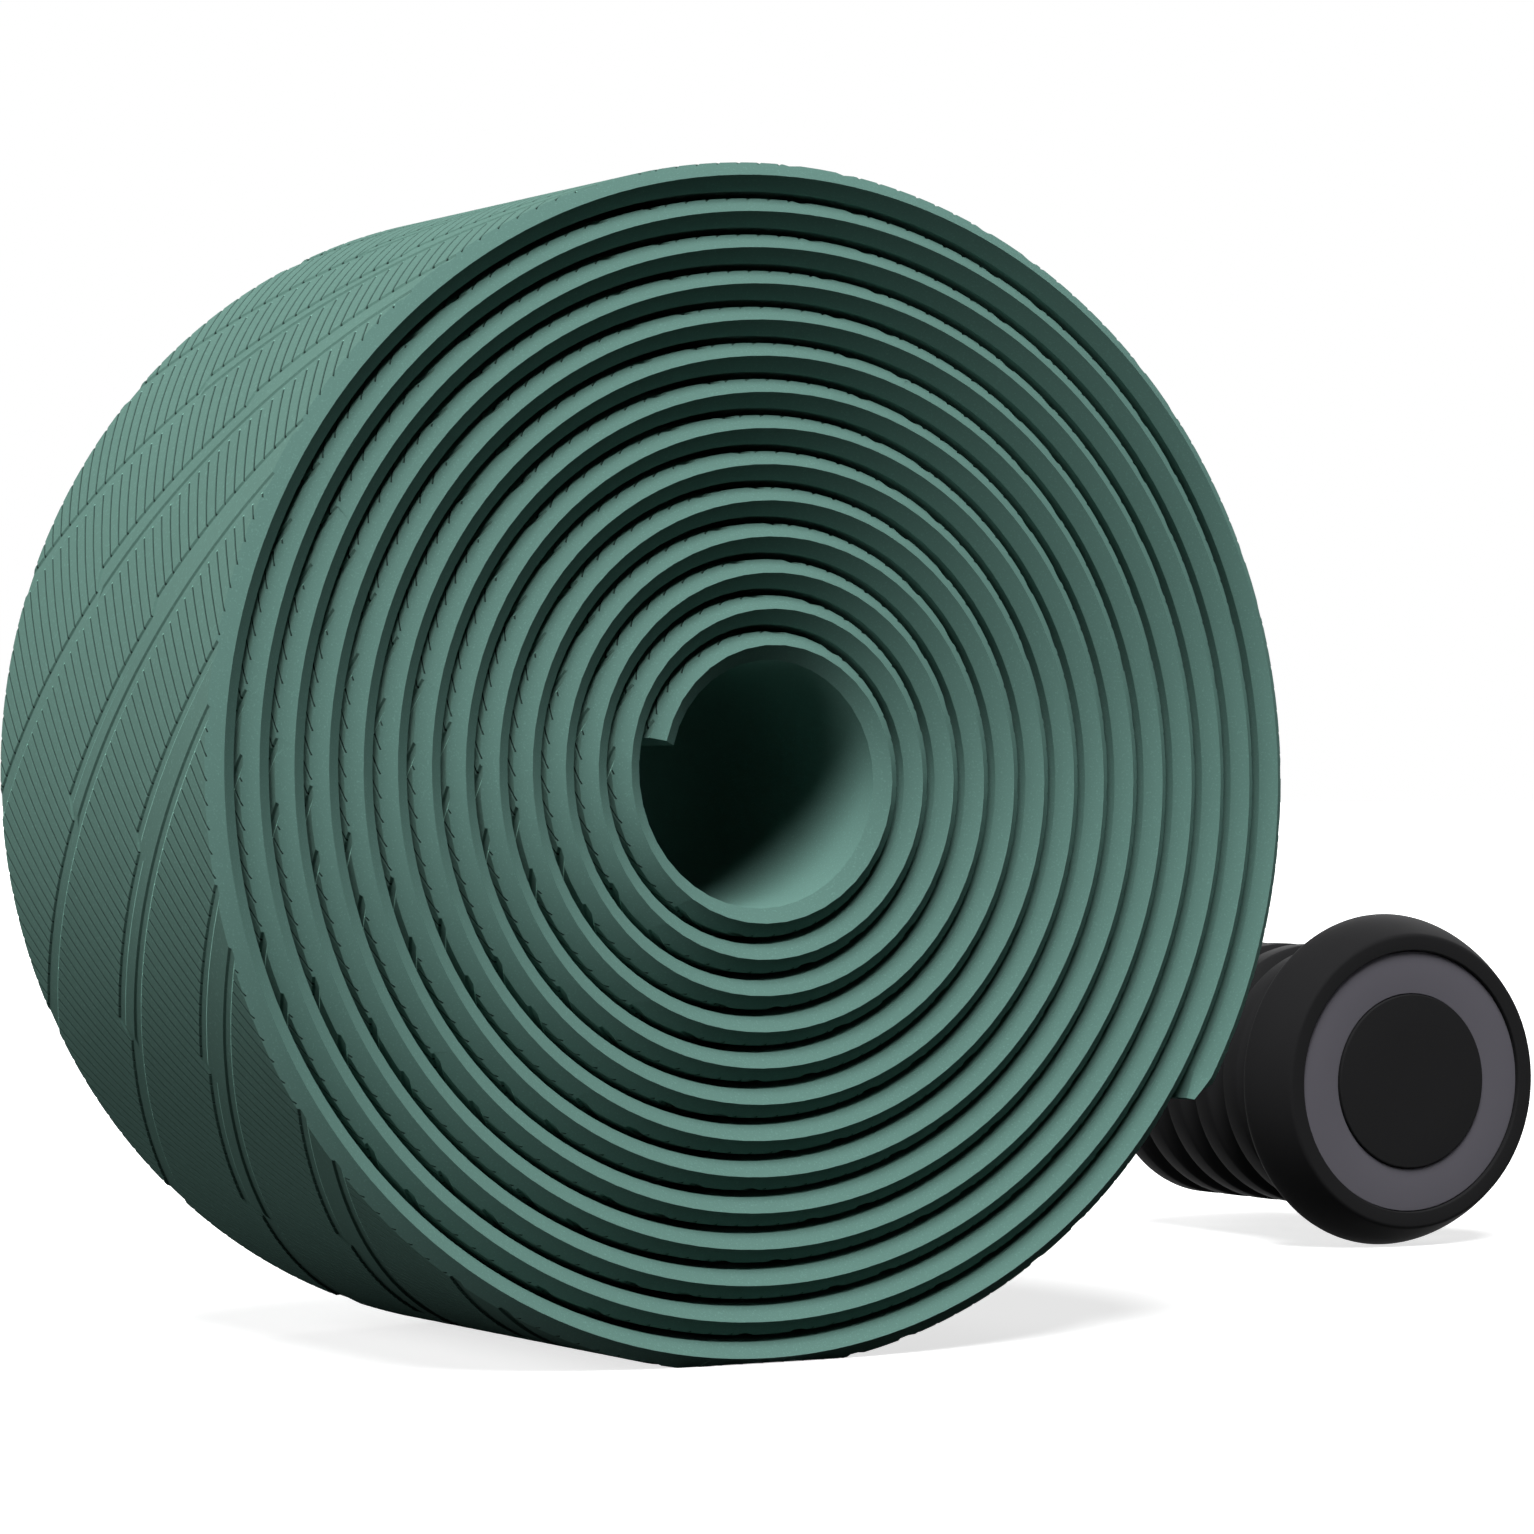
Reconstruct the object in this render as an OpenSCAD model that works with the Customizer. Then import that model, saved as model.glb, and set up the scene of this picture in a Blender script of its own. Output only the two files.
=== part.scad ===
// Handlebar tape in a roll, with a push-in bar end plug beside it.
//
// The tape is one foam strip with pointed edges, wound into an open spiral. The roll stands on
// its rim, on a small flat, with its axis along Y and its front face toward -Y. The plug lies
// behind it and to the right, its axis along Y too and its cap toward -Y.
// The origin is the middle of the roll's flat. Lengths are in millimetres.

/* [Strip] */
// Width of the strip from point to point
strip_width = 38.3; // [30:0.1:42]
// Height of the outer bevel above the edge's point
outer_bevel_rise = 0.92; // [0.7:0.01:1.1]
// Width of the outer bevel across the strip
outer_bevel_reach = 1; // [0.6:0.05:2]
// Depth of the inner bevel below the edge's point
inner_bevel_rise = 1; // [0.7:0.01:1.2]
// Width of the inner bevel across the strip
inner_bevel_reach = 0.85; // [0.6:0.05:2]

/* [Winding] */
// Number of turns in the roll
turns = 13.55; // [9:0.05:15]
// Angle of the inner end above the roll's left side, in degrees
start_angle = 16; // [0:0.5:45]
// Radius of the edge's point at the inner end of the strip
start_radius = 8.2; // [7.5:0.1:12]
// Space between one turn and the next
turn_gap = 0.49; // [0.43:0.01:0.8]
// Depth of the flat on which the roll stands
foot_depth = 0.5; // [0.4:0.05:0.7]
// Length over which the outer end is thinned
end_length = 2; // [1:0.1:4]
// Thickness left at the outer end
end_thickness = 0.2; // [0.15:0.05:0.6]
// How far the thinned end lies below the edge's point
end_drop = 0.45; // [0:0.05:0.8]

/* [Plug cap] */
// Length of the cap from its front face to its back
cap_length = 5; // [4:0.1:7]
// Width of the lip from the inlaid ring's recess to the cap's front edge
lip_width = 1.5; // [1:0.1:2]
// How far the cap flares out beyond its front edge
flare_out = 1.5; // [0.5:0.1:2.5]
// Rounding of the cap's front edge
rim_round = 0.4; // [0.3:0.05:0.6]
// Rounding of the cap's back edge
back_round = 0.7; // [0.3:0.1:1.2]

/* [Plug inlay] */
// Outer radius of the inlaid ring
inlay_radius = 10.85; // [10:0.05:11.1]
// Thickness of the inlaid ring
inlay_thickness = 1; // [0.6:0.1:1.5]
// How far the inlaid ring lies below the front face
inlay_recess = 0.35; // [0.2:0.05:0.5]
// Radius of the plain boss inside the ring
boss_radius = 7.3; // [5:0.1:8.5]
// How far the boss stands back from the front face
boss_recess = 0.1; // [0:0.05:0.15]
// Clearance between the inlaid ring and the cap
inlay_clearance = 0.05; // [0.03:0.01:0.1]

/* [Plug shank] */
// Radius of the shank over its fins
fin_radius = 11.1; // [10.6:0.1:12]
// Radius of the shank between its fins
core_radius = 9.5; // [9:0.1:10]
// Number of fins
fins = 5; // [3:1:7]
// Distance from one fin to the next
fin_pitch = 4.55; // [3.6:0.05:5.5]
// Width of the flat land on top of a fin
fin_land = 1.7; // [0.5:0.1:2.4]
// Distance from the cap's back to the first fin's crest
first_fin = 5.85; // [3:0.05:8]
// Radius of the hollow in the shank
hollow_radius = 6.5; // [5:0.1:7.5]
// Thickness of the floor between the hollow and the cap's front
hollow_floor = 8; // [6:0.1:9]

/* [Layout] */
// Free space between the roll's right side and the cap
plug_side_gap = 34.7; // [10:0.1:50]
// Distance from the roll's back face to the cap's front face
plug_setback = 14.8; // [0:0.1:30]

/* [Hidden] */

tape_colour = [0.42, 0.55, 0.51];
plug_colour = [0.09, 0.09, 0.09];
inlay_colour = [0.38, 0.38, 0.4];

rings_per_turn = 24;
ring_step = 360 / rings_per_turn;
shortest_step = 1;
pitch = outer_bevel_rise + inner_bevel_rise + turn_gap;
wound_angle = 360 * turns;
end_angle = start_angle + wound_angle;
end_radius = start_radius + pitch * turns;
thin_angle = end_angle - end_length / end_radius * 180 / PI;
first_step = (floor(start_angle / ring_step) + 1) * ring_step;
ring_angles = concat(
    [start_angle],
    [for (a = [first_step:ring_step:thin_angle]) if (a > start_angle + shortest_step && a < thin_angle - shortest_step) a],
    [thin_angle, end_angle]
);
last_ring = len(ring_angles) - 1;

arc_steps = 6;
flare_steps = 6;
flare_angle = 30;
fin_steps = 5;
cut_margin = 5;

// The strip's section as [height above the edge's point, distance from the front edge].
section = [
    [0, 0],
    [outer_bevel_rise, outer_bevel_reach],
    [outer_bevel_rise, strip_width - outer_bevel_reach],
    [0, strip_width],
    [-inner_bevel_rise, strip_width - inner_bevel_reach],
    [-inner_bevel_rise, inner_bevel_reach]
];
sides = len(section);

// Angles are from the roll's left side and clockwise as seen from the front. A point of the
// spiral is [x, z] from the roll's axis, at a ring's angle and a height above the edge's point.
function spiral_radius(angle) = start_radius + pitch * (angle - start_angle) / 360;
thinned_share = end_thickness / (outer_bevel_rise + inner_bevel_rise);
function thinned(height) = (height + end_drop) * thinned_share - end_drop;
function ring_height(ring, height) = ring == last_ring ? thinned(height) : height;
function spiral_point(ring, height) =
    let (angle = ring_angles[ring])
    (spiral_radius(angle) + ring_height(ring, height)) * [-cos(angle), sin(angle)];

outer_points = [for (ring = [0:last_ring]) spiral_point(ring, outer_bevel_rise)];
inner_points = [for (ring = [0:last_ring]) spiral_point(ring, -inner_bevel_rise)];
axis_height = max([for (p = outer_points) -p[1]]) - foot_depth;
roll_right = max([for (p = outer_points) p[0]]);

// Distance from a point to the straight piece between two others.
function share_along(p, a, b) = min(max((p - a) * (b - a) / ((b - a) * (b - a)), 0), 1);
function distance_to(p, a, b) = norm(p - a - share_along(p, a, b) * (b - a));

// Least distance between the outside of one turn at a ring and the inside of the turn over it.
function gap_at(i, over) = min(
    distance_to(outer_points[i], inner_points[over - 1], inner_points[over]),
    distance_to(outer_points[i], inner_points[over], inner_points[over + 1]),
    distance_to(inner_points[over], outer_points[i - 1], outer_points[i]),
    distance_to(inner_points[over], outer_points[i], outer_points[i + 1])
);
least_gap = min([for (i = [1:last_ring - rings_per_turn - 1]) gap_at(i, i + rings_per_turn)]);
strip_length = turns * 2 * PI * (start_radius + pitch * turns / 2);
echo(str("Least gap between turns ", least_gap, " mm"));
echo(str("Length of the strip along its edges ", round(strip_length), " mm"));

// The cap's front is built outward from the inlaid ring.
recess_radius = inlay_radius + inlay_clearance;
recess_floor = inlay_recess + inlay_thickness;
rim_radius = recess_radius + lip_width;
cap_radius = rim_radius + flare_out;

// Where the plug lies, measured to the middle of its front face.
plug_x = roll_right + plug_side_gap + cap_radius;
plug_front_y = strip_width / 2 + plug_setback;
first_crest = cap_length + first_fin;
last_crest = first_crest + (fins - 1) * fin_pitch;
shank_end = last_crest + fin_pitch / 2;

// An arc as [radius, distance along], from one turning angle to another.
function arc(centre, size, from, to) = [
    for (i = [0:arc_steps])
        let (a = from + (to - from) * i / arc_steps)
        centre + size * [cos(a), sin(a)]
];

// A fin's outline from its valley over its crest to the next valley.
fin_flank = (fin_pitch - fin_land) / 2;
function fin_height(i) = (1 - cos(180 * i / fin_steps)) / 2;
function fin_radius_at(i) = core_radius + (fin_radius - core_radius) * fin_height(i);
function fin(crest) = concat(
    [for (i = [0:fin_steps])
        [fin_radius_at(i), crest - fin_land / 2 - fin_flank * (1 - i / fin_steps)]],
    [for (i = [fin_steps:-1:1])
        [fin_radius_at(i), crest + fin_land / 2 + fin_flank * (1 - i / fin_steps)]]
);

// The boss and the lip round the inlay, from the axis outward.
cap_face = [
    [0, boss_recess],
    [boss_radius - inlay_clearance, boss_recess],
    [boss_radius - inlay_clearance, recess_floor],
    [recess_radius, recess_floor],
    [recess_radius, 0]
];
// The cap's side: a small round, the flare that steepens toward the back, and the back's round.
fullest = cap_length - back_round;
rim = arc([rim_radius - rim_round, rim_round], rim_round, -90, -flare_angle);
rim_end = rim[arc_steps];
function flared(t) = [
    rim_end[0] + (cap_radius - rim_end[0]) * (1 - pow(1 - t, 1.5)),
    rim_end[1] + (fullest - rim_end[1]) * t
];
cap_side = concat(
    rim,
    [for (i = [1:flare_steps - 1]) flared(i / flare_steps)],
    arc([cap_radius - back_round, fullest], back_round, 0, 90)
);
// The shank's side: a plain neck behind the cap's flat back, then the fins.
shank_side = [
    [core_radius, cap_length],
    for (k = [0:fins - 1])
        each fin(first_crest + k * fin_pitch)
];
shank_tail = [
    [core_radius, shank_end],
    [hollow_radius, shank_end],
    [hollow_radius, hollow_floor],
    [0, hollow_floor]
];

// Turns a shape built up along Z so that it runs along Y from the plug's front face.
module on_plug_axis() {
    translate([plug_x, plug_front_y, cap_radius])
        rotate([-90, 0, 0])
            children();
}

// Two triangles for each of the strip's sides between one ring and the next.
function side_faces(ring) = [
    for (s = [0:sides - 1])
        let (
            a = ring * sides + s,
            b = ring * sides + (s + 1) % sides,
            c = a + sides,
            d = b + sides
        )
        each [[a, c, b], [b, c, d]]
];
function end_faces(ring, outward) = [
    for (s = [1:sides - 2])
        let (a = ring * sides)
        outward ? [a, a + s, a + s + 1] : [a, a + s + 1, a + s]
];

module wound_strip() {
    points = [
        for (ring = [0:last_ring], s = section)
            let (p = spiral_point(ring, s[0]))
            [p[0], s[1] - strip_width / 2, p[1] + axis_height]
    ];
    faces = concat(
        end_faces(0, true),
        [for (ring = [0:last_ring - 1]) each side_faces(ring)],
        end_faces(last_ring, false)
    );
    polyhedron(points = points, faces = faces, convexity = 30);
}

module wound_tape() {
    color(tape_colour)
        difference() {
            wound_strip();
            translate([-roll_right, -strip_width / 2 - cut_margin, -cut_margin])
                cube([2 * roll_right, strip_width + 2 * cut_margin, cut_margin]);
        }
}

module plug_body() {
    color(plug_colour)
        on_plug_axis()
            rotate_extrude($fn = 96)
                polygon(concat(cap_face, cap_side, shank_side, shank_tail));
}

module plug_inlay() {
    color(inlay_colour)
        on_plug_axis()
            translate([0, 0, inlay_recess])
                difference() {
                    cylinder(r = inlay_radius, h = inlay_thickness, $fn = 96);
                    translate([0, 0, -cut_margin])
                        cylinder(r = boss_radius, h = inlay_thickness + 2 * cut_margin, $fn = 96);
                }
}

wound_tape();
plug_body();
plug_inlay();
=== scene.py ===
"""A roll of handlebar tape and its bar end plug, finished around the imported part."""

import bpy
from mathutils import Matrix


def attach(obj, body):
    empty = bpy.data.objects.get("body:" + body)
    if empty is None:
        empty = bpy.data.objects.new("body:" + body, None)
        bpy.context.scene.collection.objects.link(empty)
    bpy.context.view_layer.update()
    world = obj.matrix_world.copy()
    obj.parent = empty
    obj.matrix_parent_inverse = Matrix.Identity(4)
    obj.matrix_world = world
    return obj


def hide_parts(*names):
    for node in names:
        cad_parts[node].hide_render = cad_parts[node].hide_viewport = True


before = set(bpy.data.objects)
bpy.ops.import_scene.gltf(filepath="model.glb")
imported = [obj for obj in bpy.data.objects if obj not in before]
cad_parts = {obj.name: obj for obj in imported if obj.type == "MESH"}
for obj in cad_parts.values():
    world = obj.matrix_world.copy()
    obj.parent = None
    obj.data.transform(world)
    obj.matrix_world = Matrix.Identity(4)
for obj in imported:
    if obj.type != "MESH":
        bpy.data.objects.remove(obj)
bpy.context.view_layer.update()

import math

import bmesh
import bpy
from mathutils import Matrix, Vector

bl_info = {
    "name": "Bar tape roll and end plug",
    "version": (1, 0, 0),
    "blender": (4, 5, 0),
    "location": "3D View > Sidebar > Bar Tape",
    "description": "Builds a wound roll of embossed bar tape, its end plug and a plain studio",
    "category": "Add Mesh",
}

ROOT_TWO = math.sqrt(2)
TURN = 2 * math.pi

# How near two flat points are to be one, in metres.
WELD = 2e-6
# How near a point lies to a cutting plane to be on it, in metres.
ON_PLANE = 1e-7
# Faces bent by more than this are split before they are cut, in radians.
BENT = 0.001
# Faces that meet at more than this keep a crisp edge between them.
CRISP = math.radians(26)

# How far round a turn its lowest point is, from the roll's left side, as a share of a turn.
LOWEST = 0.75
# How many turns, from the outer end inward, have their whole face embossed.
WHOLE_FACE_TURNS = 1.07
# How fast the cap's flare steepens toward the back.
FLARE_POWER = 1.5

# The floor's brightness for light thrown up from it, and the glow it adds where it is seen.
FLOOR_THROW = 0.03
FLOOR_GLOW = 0.72
FLOOR_RADIUS = 30
# Each lamp, where it shines from, and the setting that holds its strength.
LAMPS = (
    ("key", (-0.287, -0.497, 0.819), "key_strength"),
    ("side", (-0.875, -0.235, 0.423), "side_strength"),
    ("back", (0.48, 0.66, 0.571), "back_strength"),
)
LAMP_DISTANCE = 1.2

# The kinds of line in the embossing, and the share of a groove's depth that each is sunk.
FIELD, SIDE, FLOOR, ISLAND = "field", "side", "floor", "island"
SUNK = {FIELD: 0, SIDE: 0.5, FLOOR: 1, ISLAND: 0}


def linear(code):
    """An sRGB hex colour as linear red, green and blue."""
    parts = [int(code[i : i + 2], 16) / 255 for i in (1, 3, 5)]
    return tuple(p / 12.92 if p <= 0.04045 else ((p + 0.055) / 1.055) ** 2.4 for p in parts)


def toned(base, share):
    """A colour made darker or paler by a share, with its alpha."""
    return tuple(min(share * c, 1.0) for c in base) + (1.0,)


def size(name, description, default):
    """A length that a user may change, in metres."""
    return bpy.props.FloatProperty(
        name=name, description=description, default=default, min=0, precision=5, unit="LENGTH"
    )


def colour(name, description, code):
    """A colour that a user may change."""
    return bpy.props.FloatVectorProperty(
        name=name, description=description, default=linear(code), min=0, max=1, subtype="COLOR"
    )


class TapeSettings(bpy.types.PropertyGroup):
    """The strip, its embossing and how it is wound."""

    width: size("Width", "Width of the strip from point to point", 0.0383)
    outer_rise: size("Outer bevel height", "Height of the face above the edge's point", 0.00092)
    outer_reach: size("Outer bevel width", "Width of the outer bevel", 0.001)
    inner_rise: size("Inner bevel depth", "Depth of the back below the edge's point", 0.001)
    inner_reach: size("Inner bevel width", "Width of the inner bevel", 0.00085)
    turns: bpy.props.FloatProperty(
        name="Turns", description="Number of turns in the roll", default=13.55, min=2, max=20
    )
    start_angle: bpy.props.FloatProperty(
        name="Start angle",
        description="Angle of the inner end above the roll's left side",
        default=math.radians(16),
        min=0,
        max=math.radians(45),
        subtype="ANGLE",
    )
    start_radius: size("Start radius", "Radius of the edge's point at the inner end", 0.0082)
    turn_gap: size("Turn gap", "Space between one turn and the next", 0.00049)
    foot_depth: size("Foot depth", "How far the roll is pressed flat where it stands", 0.0005)
    end_length: size("End length", "Length over which the outer end is thinned", 0.002)
    end_thickness: size("End thickness", "Thickness left at the outer end", 0.0002)
    end_drop: size("End drop", "How far the thin end lies below the edge's point", 0.00045)
    stripe_pitch: size("Stripe pitch", "Distance between stripes along the strip", 0.0152)
    stripe_start: size("Stripe start", "Where a stripe leaves the front edge", 1.94243)
    creases: bpy.props.IntProperty(
        name="Creases", description="Creases from one stripe to the next", default=10, min=4, max=16
    )
    crease_width: size("Crease width", "Width of a crease at the surface", 0.00025)
    crease_depth: size("Crease depth", "Depth of a crease", 0.00014)
    groove_width: size("Groove width", "Width of each of a stripe's two grooves", 0.00093)
    groove_depth: size("Groove depth", "Depth of the grooves", 0.00014)
    slope: size("Slope width", "Width of a groove's lower side", 0.00028)
    wall: size("Wall width", "Width of a groove's steep upper side", 0.00012)
    wide_island: size("Wide island", "Width of the stripe's middle near the front edge", 0.0019)
    slim_island: size("Slim island", "Width of the stripe's middle half way across", 0.00102)
    single_groove: size("Single groove", "Width of the groove near the rear edge", 0.00141)
    first_step: size("First step", "Where the middle turns slim, from the front edge", 0.0127)
    second_step: size("Second step", "Where the middle ends, from the front edge", 0.0249)
    hidden_from: size("Hidden from", "How deep the embossing goes between the turns", 0.0032)
    station: size("Station", "Distance between the back's cross lines", 0.0015)
    # Both colours are the foam's own green, paled a little as painted sheen for the lit faces.
    skin_colour: colour("Skin", "Colour of the embossed face", "#6E9288")
    foam_colour: colour("Foam", "Colour of the cut edges and the back", "#6D938A")


class PlugSettings(bpy.types.PropertyGroup):
    """The plug's cap, its inlaid ring and its finned shank."""

    place_x: size("Place along X", "Where the plug's axis stands", 0.090148)
    front_y: size("Front face", "Where the cap's front face stands along Y", 0.03395)
    cap_radius: size("Cap radius", "Radius of the cap at its fullest", 0.0139)
    cap_length: size("Cap length", "Length of the cap", 0.005)
    rim_radius: size("Rim radius", "Radius of the cap's front edge", 0.0124)
    rim_round: size("Rim rounding", "Rounding of the cap's front edge", 0.0004)
    back_round: size("Back rounding", "Rounding of the cap's back edge", 0.0007)
    ring_outer: size("Ring outer radius", "Outer radius of the inlaid ring", 0.01085)
    ring_inner: size("Ring inner radius", "Inner radius of the inlaid ring", 0.0073)
    ring_thickness: size("Ring thickness", "Thickness of the inlaid ring", 0.001)
    ring_recess: size("Ring recess", "How far the ring lies below the front face", 0.00035)
    boss_recess: size("Boss recess", "How far the boss stands back", 0.0001)
    clearance: size("Clearance", "Clearance between the ring and the cap", 0.00005)
    fin_radius: size("Fin radius", "Radius of the shank over its fins", 0.0111)
    core_radius: size("Core radius", "Radius of the shank between its fins", 0.0095)
    fins: bpy.props.IntProperty(
        name="Fins", description="Number of fins", default=5, min=1, max=9
    )
    fin_pitch: size("Fin pitch", "Distance from one fin to the next", 0.00455)
    fin_land: size("Fin land", "Width of the flat on top of a fin", 0.0017)
    first_fin: size("First fin", "From the cap's back to the first fin's crest", 0.00585)
    hollow_radius: size("Hollow radius", "Radius of the hollow in the shank", 0.0065)
    hollow_floor: size("Hollow floor", "From the front face to the hollow's floor", 0.008)
    body_colour: colour("Body", "Colour of the plug", "#2B2B2C")
    ring_colour: colour("Ring", "Colour of the inlaid ring", "#6C6A72")


class StageSettings(bpy.types.PropertyGroup):
    """The floor, the light and the camera."""

    floor_colour: colour("Floor", "Colour of the floor", "#F4F4F4")
    key_strength: bpy.props.FloatProperty(
        name="Key light", description="Strength of the light from above", default=3.2, min=0
    )
    side_strength: bpy.props.FloatProperty(
        name="Side light", description="Strength of the light from the left", default=0.74, min=0
    )
    back_strength: bpy.props.FloatProperty(
        name="Back light", description="Strength of the light from behind", default=1.0, min=0
    )
    spread: bpy.props.FloatProperty(
        name="Spread",
        description="How wide each light looks from the roll",
        default=math.radians(34),
        min=0,
        max=math.pi,
        subtype="ANGLE",
    )
    fill: bpy.props.FloatProperty(
        name="Fill", description="Strength of the even light from all round", default=0.02, min=0
    )
    camera_place: bpy.props.FloatVectorProperty(
        name="Camera place",
        description="Where the camera stands",
        default=(-0.17188, -0.33195, 0.03776),
        subtype="TRANSLATION",
    )
    camera_turn: bpy.props.FloatVectorProperty(
        name="Camera turn",
        description="Tilt, roll and heading of the camera",
        default=(math.radians(90.3243), math.radians(0.1782), math.radians(-28.739)),
        subtype="EULER",
    )
    lens: bpy.props.FloatProperty(
        name="Lens", description="Focal length on a 36 mm sensor", default=125.64, unit="CAMERA"
    )


def node(tree, kind, inputs=None, **settings):
    """Adds a node, with its settings and with values or links on its inputs."""
    made = tree.nodes.new(kind)
    for name, value in settings.items():
        setattr(made, name, value)
    for key, value in (inputs or {}).items():
        if isinstance(value, bpy.types.NodeSocket):
            tree.links.new(value, made.inputs[key])
        else:
            made.inputs[key].default_value = value
    return made


def new_material(name):
    """An empty material, with its node tree and its output's surface socket."""
    made = bpy.data.materials.new(name)
    made.use_nodes = True
    made.node_tree.nodes.clear()
    output = node(made.node_tree, "ShaderNodeOutputMaterial")
    return made, made.node_tree, output.inputs["Surface"]


def foam_finish(name, base, grain_mm, grain_height_mm, gloss, embossed=False):
    """Closed-cell EVA foam, bare where it was skived or under a thin pressed skin."""
    # To the eye it is matt, faintly cloudy and finely grained, with painted glints on the grain. On
    # the embossed skin, painted shade darkens the creases, and a painted highlight makes the lower
    # sides of its grooves pale.
    cloud_mm = 12
    made, tree, surface = new_material(name)
    place = node(tree, "ShaderNodeTexCoord").outputs["Object"]
    cloud = node(
        tree,
        "ShaderNodeTexNoise",
        {"Vector": place, "Scale": 1000 / cloud_mm, "Detail": 3.0, "Roughness": 0.55},
    )
    speck = node(
        tree,
        "ShaderNodeTexNoise",
        {"Vector": place, "Scale": 1000 / grain_mm, "Detail": 2.0, "Roughness": 0.6},
    )
    tint = node(
        tree,
        "ShaderNodeMix",
        {"Factor": cloud.outputs["Fac"], "A": toned(base, 0.95), "B": toned(base, 1.05)},
        data_type="RGBA",
    )
    # Painted glints: the brightest specks of the grain are mixed toward a paler tone, as small
    # highlights.
    painted_glint = node(
        tree,
        "ShaderNodeMapRange",
        {"Value": speck.outputs["Fac"], "From Min": 0.56, "From Max": 0.74, "To Max": 0.5},
    )
    shade = node(
        tree,
        "ShaderNodeMix",
        {
            "Factor": painted_glint.outputs["Result"],
            "A": tint.outputs["Result"],
            "B": toned(base, 1.5),
        },
        data_type="RGBA",
    )
    # Painted shade darkens the creases, and a painted highlight pales the lower sides of the
    # grooves.
    if embossed:
        depth = node(tree, "ShaderNodeAttribute", attribute_name="crease").outputs["Fac"]
        # The depth at which a tone is full, and its share of the colour: painted shade in a crease,
        # then a painted highlight on a groove's lower slope.
        for full_at, share in ((0.64, 0.15), (-0.6, 2.7)):
            here = node(tree, "ShaderNodeMapRange", {"Value": depth, "From Max": full_at})
            shade = node(
                tree,
                "ShaderNodeMix",
                {
                    "Factor": here.outputs["Result"],
                    "A": shade.outputs["Result"],
                    "B": toned(base, share),
                },
                data_type="RGBA",
            )
    roughness = node(
        tree,
        "ShaderNodeMapRange",
        {"Value": speck.outputs["Fac"], "To Min": 0.72, "To Max": 0.86},
    )
    bump = node(
        tree,
        "ShaderNodeBump",
        {"Height": speck.outputs["Fac"], "Distance": grain_height_mm / 1000, "Strength": 0.6},
    )
    shader = node(
        tree,
        "ShaderNodeBsdfPrincipled",
        {
            "Base Color": shade.outputs["Result"],
            "Roughness": roughness.outputs["Result"],
            "IOR": 1.49,
            "Diffuse Roughness": 0.5,
            "Specular IOR Level": gloss,
            "Normal": bump.outputs["Normal"],
        },
    )
    tree.links.new(shader.outputs["BSDF"], surface)
    return made


def moulded_plastic(name, base, roughness, specular, texture_mm):
    """Injection-moulded ABS from a spark-eroded mould."""
    # To the eye it is satin and nearly even in colour, with a fine pebble that spreads the light.
    # A mould's pebble is about 0.05 mm, and is drawn as coarse as it needs to show.
    pebble_height, patch_mm, uneven = 0.00001, 5, 0.05
    made, tree, surface = new_material(name)
    place = node(tree, "ShaderNodeTexCoord").outputs["Object"]
    pebble = node(
        tree,
        "ShaderNodeTexNoise",
        {"Vector": place, "Scale": 1000 / texture_mm, "Detail": 1.0, "Roughness": 0.5},
    )
    patch = node(
        tree,
        "ShaderNodeTexNoise",
        {"Vector": place, "Scale": 1000 / patch_mm, "Detail": 2.0},
    )
    gloss = node(
        tree,
        "ShaderNodeMapRange",
        {
            "Value": patch.outputs["Fac"],
            "To Min": roughness - uneven,
            "To Max": roughness + uneven,
        },
    )
    tint = node(
        tree,
        "ShaderNodeMix",
        {"Factor": patch.outputs["Fac"], "A": toned(base, 0.96), "B": toned(base, 1.04)},
        data_type="RGBA",
    )
    bump = node(
        tree,
        "ShaderNodeBump",
        {"Height": pebble.outputs["Fac"], "Distance": pebble_height, "Strength": 0.5},
    )
    shader = node(
        tree,
        "ShaderNodeBsdfPrincipled",
        {
            "Base Color": tint.outputs["Result"],
            "Roughness": gloss.outputs["Result"],
            "IOR": 1.53,
            "Specular IOR Level": specular,
            "Normal": bump.outputs["Normal"],
        },
    )
    tree.links.new(shader.outputs["BSDF"], surface)
    return made


def new_piece(name, mesh):
    """An object at the origin that shows the mesh."""
    made = bpy.data.objects.new(name, mesh)
    bpy.context.scene.collection.objects.link(made)
    return made


def smooth(piece):
    """Shades a piece smooth, but for its crisp edges."""
    piece.data.shade_smooth()
    piece.data.set_sharp_from_angle(angle=CRISP)


def mesh_of(shape, name):
    """The bmesh as a mesh, after which the bmesh is gone."""
    made = bpy.data.meshes.new(name)
    shape.to_mesh(made)
    shape.free()
    return made


def new_tree(name, sockets):
    """A Geometry Nodes tree with these inputs, and its input and output nodes."""
    made = bpy.data.node_groups.new(name, "GeometryNodeTree")
    made.interface.new_socket("Geometry", in_out="INPUT", socket_type="NodeSocketGeometry")
    for label, kind in sockets:
        made.interface.new_socket(label, in_out="INPUT", socket_type=kind)
    made.interface.new_socket("Geometry", in_out="OUTPUT", socket_type="NodeSocketGeometry")
    return made, node(made, "NodeGroupInput").outputs, node(made, "NodeGroupOutput").inputs


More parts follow.
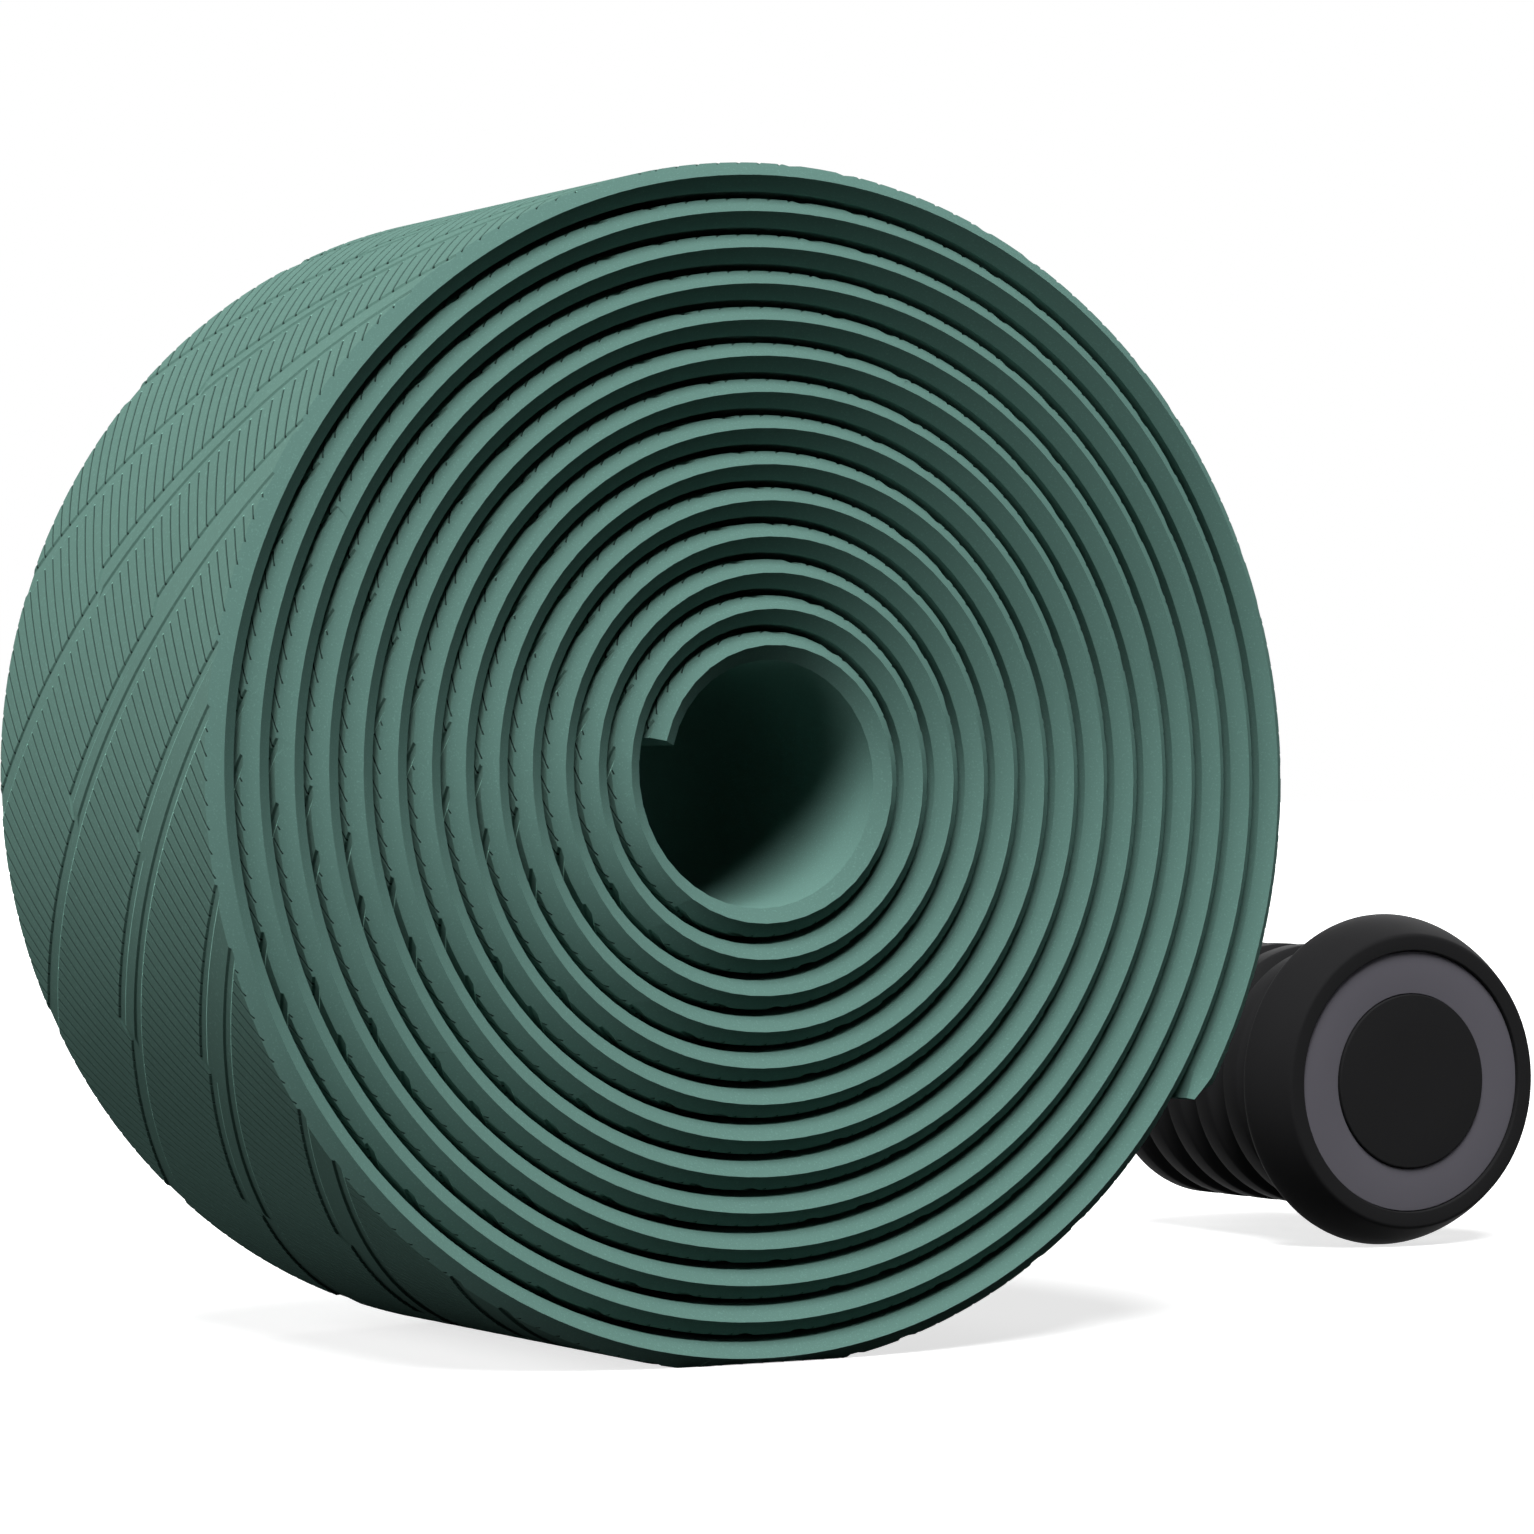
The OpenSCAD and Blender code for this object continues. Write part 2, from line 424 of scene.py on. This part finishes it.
def shaped_by(piece, tree, values):
    """Runs a tree on a piece, with its inputs by name, and keeps what comes out."""
    modifier = piece.modifiers.new(tree.name, "NODES")
    modifier.node_group = tree
    for socket in tree.interface.items_tree:
        if socket.in_out == "INPUT" and socket.name in values:
            modifier[socket.identifier] = values[socket.name]
    graph = bpy.context.evaluated_depsgraph_get()
    made = bpy.data.meshes.new_from_object(
        piece.evaluated_get(graph), preserve_all_data_layers=True, depsgraph=graph
    )
    piece.modifiers.remove(modifier)
    before = piece.data
    piece.data = made
    bpy.data.meshes.remove(before)
    return piece


def repeating_tree():
    """A tree that sets copies of a piece in a line and welds each to the next."""
    tree, inputs, output = new_tree(
        "Repeat in a line",
        [
            ("Count", "NodeSocketInt"),
            ("First Place", "NodeSocketVector"),
            ("Step", "NodeSocketVector"),
            ("Weld Distance", "NodeSocketFloat"),
            ("Material", "NodeSocketMaterial"),
        ],
    )
    line = node(
        tree,
        "GeometryNodeMeshLine",
        {
            "Count": inputs["Count"],
            "Start Location": inputs["First Place"],
            "Offset": inputs["Step"],
        },
        mode="OFFSET",
    )
    copies = node(
        tree,
        "GeometryNodeInstanceOnPoints",
        {"Points": line.outputs["Mesh"], "Instance": inputs["Geometry"]},
    )
    real = node(tree, "GeometryNodeRealizeInstances", {"Geometry": copies.outputs["Instances"]})
    welded = node(
        tree,
        "GeometryNodeMergeByDistance",
        {"Geometry": real.outputs["Geometry"], "Distance": inputs["Weld Distance"]},
    )
    finished = node(
        tree,
        "GeometryNodeSetMaterial",
        {"Geometry": welded.outputs["Geometry"], "Material": inputs["Material"]},
    )
    tree.links.new(finished.outputs["Geometry"], output["Geometry"])
    return tree


def winding_tree():
    """A tree that winds a flat strip into a spiral and presses it flat where it stands. The
    strip lies along X from 0, across Y from 0, and its points' heights are along Z."""
    tree, inputs, output = new_tree(
        "Wind the strip",
        [
            ("Start Radius", "NodeSocketFloat"),
            ("Start Angle", "NodeSocketFloat"),
            ("Pitch", "NodeSocketFloat"),
            ("Width", "NodeSocketFloat"),
            ("Axis Height", "NodeSocketFloat"),
            ("Skin", "NodeSocketMaterial"),
            ("Foam", "NodeSocketMaterial"),
        ],
    )
    start = inputs["Start Radius"]
    flat = node(
        tree, "ShaderNodeSeparateXYZ", {0: node(tree, "GeometryNodeInputPosition").outputs[0]}
    ).outputs
    growth = node(tree, "ShaderNodeMath", {0: inputs["Pitch"], 1: TURN}, operation="DIVIDE")
    # The edge's radius grows so that the length along the edge is the flat length.
    twice = node(tree, "ShaderNodeMath", {0: growth.outputs[0], 1: 2.0}, operation="MULTIPLY")
    start_squared = node(tree, "ShaderNodeMath", {0: start, 1: start}, operation="MULTIPLY")
    squared = node(
        tree,
        "ShaderNodeMath",
        {0: flat["X"], 1: twice.outputs[0], 2: start_squared.outputs[0]},
        operation="MULTIPLY_ADD",
    )
    edge_radius = node(tree, "ShaderNodeMath", {0: squared.outputs[0]}, operation="SQRT")
    grown = node(
        tree, "ShaderNodeMath", {0: edge_radius.outputs[0], 1: start}, operation="SUBTRACT"
    )
    turned = node(
        tree, "ShaderNodeMath", {0: grown.outputs[0], 1: growth.outputs[0]}, operation="DIVIDE"
    )
    angle = node(tree, "ShaderNodeMath", {0: turned.outputs[0], 1: inputs["Start Angle"]})
    radius = node(tree, "ShaderNodeMath", {0: edge_radius.outputs[0], 1: flat["Z"]})
    cosine = node(tree, "ShaderNodeMath", {0: angle.outputs[0]}, operation="COSINE")
    sine = node(tree, "ShaderNodeMath", {0: angle.outputs[0]}, operation="SINE")
    to_right = node(
        tree,
        "ShaderNodeMath",
        {0: radius.outputs[0], 1: cosine.outputs[0]},
        operation="MULTIPLY",
    )
    to_left = node(tree, "ShaderNodeMath", {0: to_right.outputs[0], 1: -1.0}, operation="MULTIPLY")
    height = node(
        tree,
        "ShaderNodeMath",
        {0: radius.outputs[0], 1: sine.outputs[0], 2: inputs["Axis Height"]},
        operation="MULTIPLY_ADD",
    )
    stood = node(tree, "ShaderNodeMath", {0: height.outputs[0], 1: 0.0}, operation="MAXIMUM")
    half = node(tree, "ShaderNodeMath", {0: inputs["Width"], 1: 2.0}, operation="DIVIDE")
    across = node(tree, "ShaderNodeMath", {0: flat["Y"], 1: half.outputs[0]}, operation="SUBTRACT")
    place = node(
        tree,
        "ShaderNodeCombineXYZ",
        {0: to_left.outputs[0], 1: across.outputs[0], 2: stood.outputs[0]},
    )
    wound = node(
        tree,
        "GeometryNodeSetPosition",
        {"Geometry": inputs["Geometry"], "Position": place.outputs[0]},
    )
    real = node(tree, "GeometryNodeRealizeInstances", {"Geometry": wound.outputs["Geometry"]})
    skinned = node(
        tree,
        "GeometryNodeSetMaterial",
        {"Geometry": real.outputs["Geometry"], "Material": inputs["Skin"]},
    )
    is_cut = node(tree, "GeometryNodeInputNamedAttribute", {"Name": "cut"}, data_type="BOOLEAN")
    finished = node(
        tree,
        "GeometryNodeSetMaterial",
        {
            "Geometry": skinned.outputs["Geometry"],
            "Selection": is_cut.outputs["Attribute"],
            "Material": inputs["Foam"],
        },
    )
    tree.links.new(finished.outputs["Geometry"], output["Geometry"])
    return tree


def stripe_lines(tape, steps_passed):
    """The embossing's lines from one stripe's lower side to the next one's, as their distance
    square to the stripes and their height."""
    floor_parts, field_parts = 6, 4
    groove, slope, wall = tape.groove_width, tape.slope, tape.wall
    if steps_passed < 2:
        second = groove + (tape.wide_island, tape.slim_island)[steps_passed]
        lines = [
            (slope / 2, SIDE),
            (slope, FLOOR),
            (groove - wall, FLOOR),
            (groove, ISLAND),
            (second, ISLAND),
            (second + slope / 2, SIDE),
            (second + slope, FLOOR),
            (second + groove - wall, FLOOR),
        ]
        stripe_end = second + groove
    else:
        stripe_end = tape.single_groove
        floor_step = (stripe_end - slope - wall) / floor_parts
        lines = [(slope / 2, SIDE)]
        lines += [(slope + i * floor_step, FLOOR) for i in range(floor_parts + 1)]
    to_next = tape.stripe_pitch / ROOT_TWO
    field_step = (to_next - stripe_end) / field_parts
    field = [(stripe_end + i * field_step, FIELD) for i in range(field_parts + 1)]
    return [(0.0, FIELD), *lines, *field]


def embossed_patch(tape):
    """One repeat of the embossing, flat, from under one bevel to under the other, with how much of
    a crease each point is, for painted shade, and -1 on a groove's lower side, for a painted
    highlight."""
    shape = bmesh.new()
    painted_tone_mask = shape.verts.layers.float.new("crease")
    crease_step = tape.stripe_pitch / ROOT_TWO / tape.creases
    second_groove = tape.groove_width + tape.wide_island
    margin = 2 * tape.outer_reach
    first = math.floor(-ROOT_TWO * (tape.width + margin) / crease_step)
    last = math.ceil((tape.stripe_pitch + ROOT_TWO * margin) / ROOT_TWO / crease_step)
    rows = []
    for k in range(first, last + 1):
        crease = (k + 0.5) * crease_step
        across = (second_groove - crease) / ROOT_TWO
        steps_passed = (across > tape.first_step) + (across > tape.second_step)
        for lip in (-0.5, 0.0, 0.5):
            along = crease + lip * tape.crease_width
            row = []
            for distance, kind in stripe_lines(tape, steps_passed):
                bottom = kind == FIELD and lip == 0
                depth = tape.crease_depth if bottom else tape.groove_depth * SUNK[kind]
                place = ((distance + along) / ROOT_TWO, (distance - along) / ROOT_TWO)
                point = shape.verts.new((*place, tape.outer_rise - depth))
                # This mask is 1 at a crease's bottom, for painted shade, and -1 on a groove's lower
                # side, for a painted highlight.
                point[painted_tone_mask] = bottom - (kind == SIDE)
                row.append(point)
            rows.append(row)
    for row, after in zip(rows, rows[1:]):
        for i in range(len(row) - 1):
            shape.faces.new((row[i], after[i], after[i + 1], row[i + 1]))
    # A plane cuts a bent face wrongly, so these are split along their bend.
    bmesh.ops.connect_verts_nonplanar(shape, angle_limit=BENT, faces=shape.faces[:])
    return shape


def cut(shape, place, normal, keep_both=False):
    """Cuts the shape with a plane, and drops what lies on the side of the normal."""
    bmesh.ops.bisect_plane(
        shape,
        geom=shape.verts[:] + shape.edges[:] + shape.faces[:],
        dist=ON_PLANE,
        plane_co=place,
        plane_no=Vector(normal).normalized(),
        clear_outer=not keep_both,
    )


def trimmed_patch(tape, only_edges):
    """The embossed patch cut along the bevels, and without its middle where only its edges
    can be seen."""
    shape = embossed_patch(tape)
    rise, reach, width, depth = tape.outer_rise, tape.outer_reach, tape.width, tape.hidden_from
    cut(shape, (0, 0, 0), (0, -rise, reach))
    cut(shape, (0, width, 0), (0, rise, reach))
    for across in (depth, width - depth):
        cut(shape, (0, across, 0), (0, 1, 0), keep_both=True)
    if only_edges:
        middle = [
            f for f in shape.faces if depth < f.calc_center_median().y < width - depth
        ]
        bmesh.ops.delete(shape, geom=middle, context="FACES")
    return mesh_of(shape, "patch")


def stretch_of_face(tape, start, end, only_edges, material):
    """The embossed face from one length along the strip to another."""
    pitch = tape.stripe_pitch
    first = math.floor((start - tape.stripe_start) / pitch) - 1
    count = math.ceil((end + tape.width - tape.stripe_start) / pitch) - first + 1
    piece = new_piece("face", trimmed_patch(tape, only_edges))
    shaped_by(
        piece,
        repeating_tree(),
        {
            "Count": count,
            "First Place": (tape.stripe_start + first * pitch, 0.0, 0.0),
            "Step": (pitch, 0.0, 0.0),
            "Weld Distance": WELD,
            "Material": material,
        },
    )
    shape = bmesh.new()
    shape.from_mesh(piece.data)
    bpy.data.objects.remove(piece)
    cut(shape, (start, 0, 0), (-1, 0, 0))
    cut(shape, (end, 0, 0), (1, 0, 0))
    return mesh_of(shape, "stretch")


def in_order(points):
    """Points of an open edge in the order in which it joins them, from the inner end."""
    left = set(points)
    here = min(points, key=lambda v: v.co.x)
    line = []
    while here:
        line.append(here)
        left.discard(here)
        beside = [e.other_vert(here) for e in here.link_edges if e.is_boundary]
        here = next((v for v in beside if v in left), None)
    return line


def stitch(shape, one, other):
    """Fills between two lines of points, both from the inner end on, with triangles."""
    i = j = 0
    while i < len(one) - 1 or j < len(other) - 1:
        step_one = j == len(other) - 1 or (
            i < len(one) - 1 and one[i + 1].co.x <= other[j + 1].co.x
        )
        third = one[i + 1] if step_one else other[j + 1]
        shape.faces.new((one[i], other[j], third))
        i, j = (i + 1, j) if step_one else (i, j + 1)


def thin_the_end(shape, tape, length):
    """Presses the last of the strip thin, its heights drawn to a line under the edge's point."""
    from_here = length - tape.end_length
    cut(shape, (from_here, 0, 0), (1, 0, 0), keep_both=True)
    share = tape.end_thickness / (tape.outer_rise + tape.inner_rise)
    for vert in shape.verts:
        thinned = max(vert.co.x - from_here, 0) / tape.end_length
        vert.co.z -= thinned * (1 - share) * (vert.co.z + tape.end_drop)


def flat_strip(tape, length, full_from, skin):
    """The whole strip, flat and closed, with a mark on its cut faces."""
    shape = bmesh.new()
    shape.from_mesh(stretch_of_face(tape, 0, full_from, True, skin))
    shape.from_mesh(stretch_of_face(tape, full_from, length, False, skin))
    bmesh.ops.remove_doubles(shape, verts=shape.verts[:], dist=WELD)
    marked = shape.faces.layers.bool.new("cut")
    embossed = set(shape.faces)

    width, rise, reach, depth = tape.width, tape.outer_rise, tape.outer_reach, tape.hidden_from
    by_length = sorted(shape.verts, key=lambda v: v.co.x)
    slope = rise / reach
    # A groove's wall may be cut so that the crest runs back on itself a little.
    front = in_order([v for v in by_length if abs(v.co.z - slope * v.co.y) < WELD])
    rear = in_order([v for v in by_length if abs(v.co.z - slope * (width - v.co.y)) < WELD])
    shielded = [v for v in by_length if v.co.x < full_from + WELD]
    near = [v for v in shielded if abs(v.co.y - depth) < WELD / 2]
    far = [v for v in shielded if abs(v.co.y - (width - depth)) < WELD / 2]
    stitch(shape, near, far)

    count = math.ceil(length / tape.station)
    stations = [length * i / count for i in range(count + 1)]
    section = [
        (0, 0),
        (tape.inner_reach, -tape.inner_rise),
        (width - tape.inner_reach, -tape.inner_rise),
        (width, 0),
    ]
    lines = [[shape.verts.new((x, y, z)) for x in stations] for y, z in section]
    for line, beside in zip(lines, lines[1:]):
        for i in range(count):
            shape.faces.new((line[i], line[i + 1], beside[i + 1], beside[i]))
    stitch(shape, front, lines[0])
    stitch(shape, rear, lines[-1])
    bmesh.ops.holes_fill(shape, edges=[e for e in shape.edges if e.is_boundary], sides=0)
    bmesh.ops.recalc_face_normals(shape, faces=shape.faces[:])
    for face in shape.faces:
        face[marked] = face not in embossed
    uv = shape.loops.layers.uv.new("strip")
    for face in shape.faces:
        for loop in face.loops:
            loop[uv].uv = loop.vert.co.xy
    thin_the_end(shape, tape, length)
    return mesh_of(shape, "strip")


def length_to(tape, pitch, turns):
    """The length along the strip's edge from its inner end to a number of turns."""
    return TURN * turns * (tape.start_radius + pitch * turns / 2)


class BARTAPE_OT_roll(bpy.types.Operator):
    """Makes the embossed strip and winds it into a roll"""

    bl_idname = "bar_tape.roll"
    bl_label = "Roll of tape"

    def execute(self, context):
        tape = context.scene.bar_tape
        pitch = tape.outer_rise + tape.inner_rise + tape.turn_gap
        length = length_to(tape, pitch, tape.turns)
        full_from = length_to(tape, pitch, tape.turns - WHOLE_FACE_TURNS)
        below = LOWEST - tape.start_angle / TURN
        lowest_turn = math.floor(tape.turns - below) + below
        axis_height = (
            tape.start_radius + pitch * lowest_turn + tape.outer_rise - tape.foot_depth
        )
        # Foam's cells are finer than 0.1 mm, and are drawn as coarse as they need to show.
        skin = foam_finish("eva_foam_embossed_skin", tuple(tape.skin_colour), 0.22, 0.012, 0, True)
        foam = foam_finish("eva_foam_skived", tuple(tape.foam_colour), 0.14, 0.012, 0.004)
        piece = new_piece("tape_roll", flat_strip(tape, length, full_from, skin))
        shaped_by(
            piece,
            winding_tree(),
            {
                "Start Radius": tape.start_radius,
                "Start Angle": tape.start_angle,
                "Pitch": pitch,
                "Width": tape.width,
                "Axis Height": axis_height,
                "Skin": skin,
                "Foam": foam,
            },
        )
        smooth(piece)
        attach(piece, "roll")
        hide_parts("wound_tape")
        return {"FINISHED"}


def arc(radius, along, size, start, end, count=6):
    """Points of a round's arc as radius and distance along, from one angle to another."""
    angles = [math.radians(start + (end - start) * i / count) for i in range(count + 1)]
    return [(radius + size * math.cos(a), along + size * math.sin(a)) for a in angles]


def cap_side(plug):
    """The cap's side: a small round, the flare that steepens toward the back, and the round
    before the flat back."""
    steps = 16
    rim = arc(plug.rim_radius - plug.rim_round, plug.rim_round, plug.rim_round, -90, -30)
    radius, along = rim[-1]
    fullest = plug.cap_length - plug.back_round
    flare = []
    for i in range(1, steps):
        share = i / steps
        out = (plug.cap_radius - radius) * (1 - (1 - share) ** FLARE_POWER)
        flare.append((radius + out, along + (fullest - along) * share))
    back = arc(plug.cap_radius - plug.back_round, fullest, plug.back_round, 0, 90, 10)
    return rim + flare + back


def lathed(outline, segments=160):
    """A shape turned about the Y axis, from its outline as radius and distance along."""
    shape = bmesh.new()
    rings = []
    for radius, along in outline:
        if radius == 0:
            rings.append([shape.verts.new((0, along, 0))] * segments)
            continue
        turned = [TURN * i / segments for i in range(segments)]
        rings.append(
            [
                shape.verts.new((radius * math.cos(a), along, radius * math.sin(a)))
                for a in turned
            ]
        )
    for ring, after in zip(rings, rings[1:]):
        for i in range(segments):
            corners = (ring[i], ring[i - 1], after[i - 1], after[i])
            shape.faces.new(list(dict.fromkeys(corners)))
    return shape


def fin_outline(plug):
    """One fin from valley to valley, its crest at 0."""
    steps = 12
    flank = (plug.fin_pitch - plug.fin_land) / 2
    height = plug.fin_radius - plug.core_radius
    up = []
    for i in range(steps + 1):
        rise = (1 - math.cos(math.pi * i / steps)) / 2
        up.append(
            (plug.core_radius + height * rise, -plug.fin_land / 2 - flank * (1 - i / steps))
        )
    return up + [(radius, -along) for radius, along in reversed(up)]


def put_in_place(shape, plug):
    """Moves what was turned about the Y axis to the plug's own axis."""
    place = Vector((plug.place_x, plug.front_y, plug.cap_radius))
    bmesh.ops.transform(shape, matrix=Matrix.Translation(place), verts=shape.verts[:])


class BARTAPE_OT_plug(bpy.types.Operator):
    """Makes the plug's cap and its finned shank"""

    bl_idname = "bar_tape.plug"
    bl_label = "Bar end plug"

    def execute(self, context):
        plug = context.scene.bar_plug
        plastic = moulded_plastic("abs_moulded_black", tuple(plug.body_colour), 0.48, 0.006, 0.12)
        soft = 0.00012
        floor = plug.ring_recess + plug.ring_thickness
        boss = plug.ring_inner - plug.clearance
        lip = plug.ring_outer + plug.clearance
        first_crest = plug.cap_length + plug.first_fin
        first_valley = first_crest - plug.fin_pitch / 2
        last_valley = first_valley + plug.fins * plug.fin_pitch
        cap = [
            (0, plug.boss_recess),
            (boss * 0.5, plug.boss_recess),
            *arc(boss - soft, plug.boss_recess + soft, soft, -90, 0),
            (boss, floor),
            (lip, floor),
            *arc(lip + soft, soft, soft, 180, 270),
            *cap_side(plug),
            *arc(plug.core_radius + soft, plug.cap_length + soft, soft, -90, -180),
            (plug.core_radius, first_valley),
        ]
        tail = [
            (plug.core_radius, last_valley),
            *arc(plug.core_radius - soft, last_valley - soft, soft, 20, 90),
            *arc(plug.hollow_radius + soft, last_valley - soft, soft, 90, 180),
            (plug.hollow_radius, plug.hollow_floor),
            (0, plug.hollow_floor),
        ]
        fins = new_piece("fins", mesh_of(lathed(fin_outline(plug)), "fin"))
        shaped_by(
            fins,
            repeating_tree(),
            {
                "Count": plug.fins,
                "First Place": (0.0, first_crest, 0.0),
                "Step": (0.0, plug.fin_pitch, 0.0),
                "Weld Distance": WELD,
                "Material": plastic,
            },
        )
        shape = lathed(cap)
        shape.from_mesh(fins.data)
        shape.from_mesh(mesh_of(lathed(tail), "tail"))
        bpy.data.objects.remove(fins)
        bmesh.ops.remove_doubles(shape, verts=shape.verts[:], dist=WELD)
        put_in_place(shape, plug)
        bmesh.ops.recalc_face_normals(shape, faces=shape.faces[:])
        piece = new_piece("bar_end_plug", mesh_of(shape, "bar_end_plug"))
        piece.data.materials.clear()
        piece.data.materials.append(plastic)
        smooth(piece)
        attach(piece, "plug")
        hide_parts("plug_body")
        return {"FINISHED"}


class BARTAPE_OT_ring(bpy.types.Operator):
    """Makes the ring that is let into the plug's cap"""

    bl_idname = "bar_tape.ring"
    bl_label = "Cap ring"

    def execute(self, context):
        plug = context.scene.bar_plug
        plastic = moulded_plastic("abs_moulded_grey", tuple(plug.ring_colour), 0.5, 0.08, 0.1)
        soft = 0.00008
        front, back = plug.ring_recess, plug.ring_recess + plug.ring_thickness
        inner, outer = plug.ring_inner, plug.ring_outer
        outline = [
            *arc(outer - soft, front + soft, soft, 0, -90),
            ((inner + outer) / 2, front),
            *arc(inner + soft, front + soft, soft, 270, 180),
            (inner, back),
            (outer, back),
        ]
        shape = lathed([*outline, outline[0]])
        bmesh.ops.remove_doubles(shape, verts=shape.verts[:], dist=WELD)
        put_in_place(shape, plug)
        bmesh.ops.recalc_face_normals(shape, faces=shape.faces[:])
        piece = new_piece("cap_ring", mesh_of(shape, "cap_ring"))
        piece.data.materials.append(plastic)
        smooth(piece)
        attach(piece, "plug")
        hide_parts("plug_inlay")
        return {"FINISHED"}


def seen_directly(tree):
    """1 for rays from the camera and for those that gloss or glass sends on, else 0."""
    path = node(tree, "ShaderNodeLightPath").outputs
    gloss = node(
        tree,
        "ShaderNodeMath",
        {0: path["Is Camera Ray"], 1: path["Is Glossy Ray"]},
        operation="MAXIMUM",
    )
    both = node(
        tree,
        "ShaderNodeMath",
        {0: gloss.outputs[0], 1: path["Is Transmission Ray"]},
        operation="MAXIMUM",
    )
    return both.outputs[0]


def studio_floor(pale):
    """Board under a matt white emulsion paint."""
    # To the eye it is pale and even, and it throws little light back up.
    made, tree, surface = new_material("painted_board")
    seen = seen_directly(tree)
    tint = node(
        tree,
        "ShaderNodeMix",
        {"Factor": seen, "A": (*[FLOOR_THROW] * 3, 1.0), "B": (*pale, 1.0)},
        data_type="RGBA",
    )
    board = node(
        tree, "ShaderNodeBsdfDiffuse", {"Color": tint.outputs["Result"], "Roughness": 0.8}
    )
    lift = node(tree, "ShaderNodeMath", {0: seen, 1: FLOOR_GLOW}, operation="MULTIPLY")
    glow = node(
        tree, "ShaderNodeEmission", {"Color": (1, 1, 1, 1), "Strength": lift.outputs[0]}
    )
    both = node(tree, "ShaderNodeAddShader", {0: board.outputs[0], 1: glow.outputs[0]})
    tree.links.new(both.outputs[0], surface)
    return made


class BARTAPE_OT_stage(bpy.types.Operator):
    """Makes the floor, the light and the camera"""

    bl_idname = "bar_tape.stage"
    bl_label = "Stage"

    def execute(self, context):
        stage = context.scene.bar_stage
        shape = bmesh.new()
        bmesh.ops.create_circle(shape, cap_ends=True, segments=64, radius=FLOOR_RADIUS)
        floor = new_piece("floor", mesh_of(shape, "floor"))
        floor.data.materials.append(studio_floor(tuple(stage.floor_colour)))

        world = bpy.data.worlds.new("studio")
        world.use_nodes = True
        context.scene.world = world
        tree = world.node_tree
        tree.nodes.clear()
        dim = node(tree, "ShaderNodeBackground", {"Color": (1, 1, 1, 1), "Strength": stage.fill})
        white = node(tree, "ShaderNodeBackground", {"Color": (1, 1, 1, 1), "Strength": 1.0})
        both = node(
            tree,
            "ShaderNodeMixShader",
            {0: seen_directly(tree), 1: dim.outputs[0], 2: white.outputs[0]},
        )
        node(tree, "ShaderNodeOutputWorld", {"Surface": both.outputs[0]})

        for name, direction, strength in LAMPS:
            towards = Vector(direction)
            lamp = bpy.data.lights.new(name, "SUN")
            lamp.angle = stage.spread
            lamp.energy = getattr(stage, strength)
            placed = bpy.data.objects.new(name, lamp)
            context.scene.collection.objects.link(placed)
            placed.location = LAMP_DISTANCE * towards
            placed.rotation_euler = towards.to_track_quat("Z", "Y").to_euler()

        camera = bpy.data.objects.new("camera", bpy.data.cameras.new("camera"))
        context.scene.collection.objects.link(camera)
        camera.location = stage.camera_place
        camera.rotation_euler = stage.camera_turn
        camera.data.lens = stage.lens
        camera.data.sensor_width = 36
        camera.data.clip_start = 0.01
        camera.data.clip_end = 100
        context.scene.camera = camera
        context.scene.view_settings.view_transform = "Standard"
        return {"FINISHED"}


class BARTAPE_PT_panel(bpy.types.Panel):
    """Lists the pieces and their sizes"""

    bl_idname = "BARTAPE_PT_panel"
    bl_label = "Bar Tape"
    bl_space_type = "VIEW_3D"
    bl_region_type = "UI"
    bl_category = "Bar Tape"

    def draw(self, context):
        for settings, operators in PANEL_ROWS:
            box = self.layout.box()
            for operator in operators:
                box.operator(operator)
            group = getattr(context.scene, settings)
            for name in group.__annotations__:
                box.prop(group, name)


PANEL_ROWS = (
    ("bar_tape", ("bar_tape.roll",)),
    ("bar_plug", ("bar_tape.plug", "bar_tape.ring")),
    ("bar_stage", ("bar_tape.stage",)),
)
GROUPS = {"bar_tape": TapeSettings, "bar_plug": PlugSettings, "bar_stage": StageSettings}
CLASSES = (
    *GROUPS.values(),
    BARTAPE_OT_roll,
    BARTAPE_OT_plug,
    BARTAPE_OT_ring,
    BARTAPE_OT_stage,
    BARTAPE_PT_panel,
)


def register():
    """Adds the classes, and their settings to the scene."""
    for kind in CLASSES:
        bpy.utils.register_class(kind)
    for name, kind in GROUPS.items():
        setattr(bpy.types.Scene, name, bpy.props.PointerProperty(type=kind))


def unregister():
    """Takes the settings and the classes away again."""
    for name in GROUPS:
        delattr(bpy.types.Scene, name)
    for kind in reversed(CLASSES):
        bpy.utils.unregister_class(kind)


def main():
    """Makes every piece in order."""
    register()
    bpy.ops.bar_tape.stage()
    bpy.ops.bar_tape.roll()
    bpy.ops.bar_tape.plug()
    bpy.ops.bar_tape.ring()


if __name__ == "__main__":
    main()
